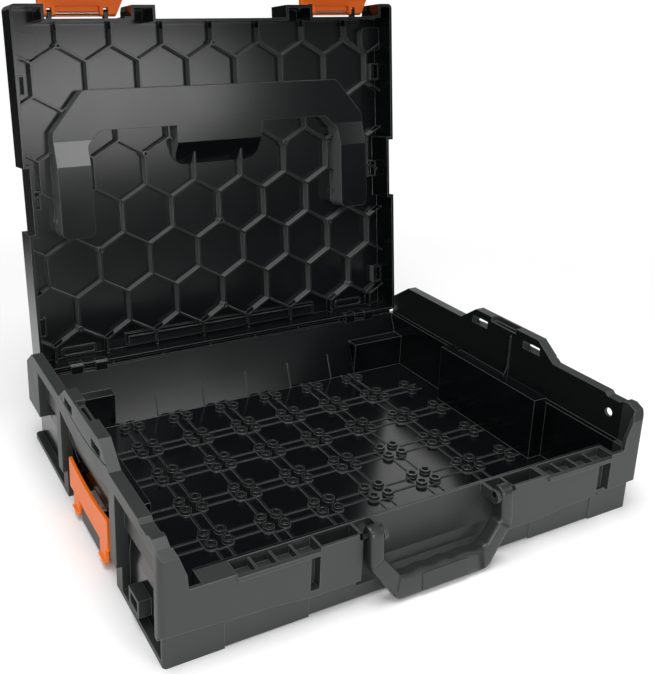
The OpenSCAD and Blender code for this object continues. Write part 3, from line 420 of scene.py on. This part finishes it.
# ---------------------------------------------------------------- top handle
# A wide folding handle of dark plastic, glossier than the shells. It turns on two steel
# pins and folds flush into the recess in the lid's outside.
# Its edges are painted lighter: wear, and a painted highlight.
GRIP, GRIP_WEAR_AND_GLINT = (0.0150, 0.0178, 0.0164), (0.060, 0.067, 0.065)
grip = moulded("handle_plastic", GRIP, GRIP_WEAR_AND_GLINT, rough=0.34, radius=0.0010, depth=0.00005)
finish_with(grip, "lid_handle")
soften("lid_handle", width=0.0016)

# ---------------------------------------------------------------- front handle's panel
# A plain plastic panel, coarser in its grain than the handle, that is pressed into the
# outside of the front handle's grip.
# Its edges are painted lighter: wear, and a painted highlight.
PANEL, PANEL_WEAR_AND_GLINT = (0.0150, 0.0176, 0.0166), (0.055, 0.061, 0.060)
panel = moulded("insert_plastic", PANEL, PANEL_WEAR_AND_GLINT, rough=0.42, radius=0.0005, depth=0.00008)
finish_with(panel, "front_handle_insert")

# ---------------------------------------------------------------- front handle
# A thick rounded loop of the top handle's plastic: finger hollows inside its grip, a seam
# round each arm, and a boss on each of its two pins. It is drawn in its own plane, across
# and up from the pivot.
HANG_TILT = radians(-6)
ARM_OUT, ARM_IN, BOSS = 0.067, 0.055, 0.0065
KNEE_OUT, KNEE_IN = -0.025, -0.019
GRIP_OUT, GRIP_IN, GRIP_LOW, GRIP_TOP = 0.0425, 0.0395, -0.0580, -0.0380
FINGER, FINGER_DEPTH, FINGER_END, FINGER_FADE = 0.0195, 0.0011, 0.0355, 0.006
SEAM_Z, SEAM_DEPTH, SEAM_WIDTH = -0.0215, 0.07, 0.0006
SQUARENESS, AROUND = 0.42, 48
RUN_STEPS, ARC_STEPS = 10, 9


def bent(points, radii):
    """A polyline with rounded corners: straight runs of RUN_STEPS points, arcs of ARC_STEPS.

    An arc of radius r at a corner of half-angle h starts r / tan(h) before it and is drawn
    as the quadratic blend (1-t)^2 a + 2 t (1-t) corner + t^2 b.
    """
    points = np.array(points, float)
    rows, start = [], points[0]
    t = np.linspace(0, 1, ARC_STEPS)[:, None]
    run = np.linspace(0, 1, RUN_STEPS, endpoint=False)[:, None]
    for before, corner, after, r in zip(points, points[1:], points[2:], radii):
        back, on = before - corner, after - corner
        back, on = back / np.linalg.norm(back), on / np.linalg.norm(on)
        half = np.arccos(np.clip(back @ on, -1, 1)) / 2
        a, b = corner + back * r / np.tan(half), corner + on * r / np.tan(half)
        rows += [start + (a - start) * run,
                 (1 - t) ** 2 * a + 2 * t * (1 - t) * corner + t ** 2 * b]
        start = b
    rows.append(start + (points[-1] - start) * np.linspace(0, 1, RUN_STEPS)[1:, None])
    return np.concatenate(rows)


def mirrored(points, radii):
    """The bent line through points on the right side and their mirror images."""
    return bent(points + [(-x, z) for x, z in reversed(points)], radii + radii[::-1])


def closed_sweep(name, rows):
    """A mesh through rows of rings, rows[i, k]; each end is closed to its ring's middle."""
    n, m = rows.shape[:2]
    i, k = np.meshgrid(np.arange(n - 1), np.arange(m), indexing="ij")
    next_k = (k + 1) % m
    quads = np.stack([i * m + k, (i + 1) * m + k, (i + 1) * m + next_k, i * m + next_k], -1)
    k = np.arange(m)
    first = np.stack([k, (k + 1) % m, np.full(m, n * m)], -1)
    last = np.stack([(n - 1) * m + (k + 1) % m, (n - 1) * m + k, np.full(m, n * m + 1)], -1)
    points = np.concatenate([rows.reshape(-1, 3), rows[[0, -1]].mean(1)])
    mesh = bpy.data.meshes.new(name)
    mesh.from_pydata(points.tolist(), [],
                     quads.reshape(-1, 4).tolist() + first.tolist() + last.tolist())
    mesh.shade_smooth()
    return mesh


outer = mirrored([(ARM_OUT, 0), (ARM_OUT, KNEE_OUT), (GRIP_OUT, GRIP_LOW)], (0.012, 0.009))
inner = mirrored([(ARM_IN, 0), (ARM_IN, KNEE_IN), (GRIP_IN, GRIP_TOP)], (0.008, 0.006))
in_grip = np.clip((FINGER_END - np.abs(inner[:, 0])) / FINGER_FADE, 0, 1)
inner[:, 1] += FINGER_DEPTH * in_grip * np.cos(2 * np.pi * inner[:, 0] / FINGER)
middle, reach = (outer + inner) / 2, (outer - inner) / 2
pinch = 1 - SEAM_DEPTH * np.exp(-((middle[:, 1] - SEAM_Z) / SEAM_WIDTH) ** 2)

# A dome of rings at these angles closes the boss at the top of each arm.
DOME_RINGS = (84, 70, 55, 40, 25, 12)
rise = np.radians(DOME_RINGS)
dome = np.stack([np.full(len(rise), (ARM_OUT + ARM_IN) / 2), BOSS * np.sin(rise)], -1)
middle = np.concatenate([dome, middle, dome[::-1] * (-1, 1)])
reach = np.concatenate([np.repeat(reach[:1], len(rise), 0), reach * pinch[:, None],
                        np.repeat(reach[-1:], len(rise), 0)])
thick = np.concatenate([BOSS * np.cos(rise), BOSS * pinch, BOSS * np.cos(rise[::-1])])

# Each ring is a superellipse: cos and sin of the turn, raised to SQUARENESS.
turn = np.linspace(0, 2 * np.pi, AROUND, endpoint=False)
ring_out, ring_up = [np.sign(wave) * np.abs(wave) ** SQUARENESS
                     for wave in (np.cos(turn), np.sin(turn))]
flat = middle[:, None] + reach[:, None] * ring_out[None, :, None]
rows = np.stack([flat[..., 0], thick[:, None] * ring_up[None], flat[..., 1]], -1)
mesh = closed_sweep("front_handle_loop", rows)
mesh.transform(Matrix.Translation(joints["front_handle_pivot"]["pos_m"])
               @ Matrix.Rotation(HANG_TILT, 4, "X"))
mesh.materials.append(grip)
loop = bpy.data.objects.new("front_handle_loop", mesh)
scene.collection.objects.link(loop)
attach(loop, "front_handle")
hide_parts("front_handle")
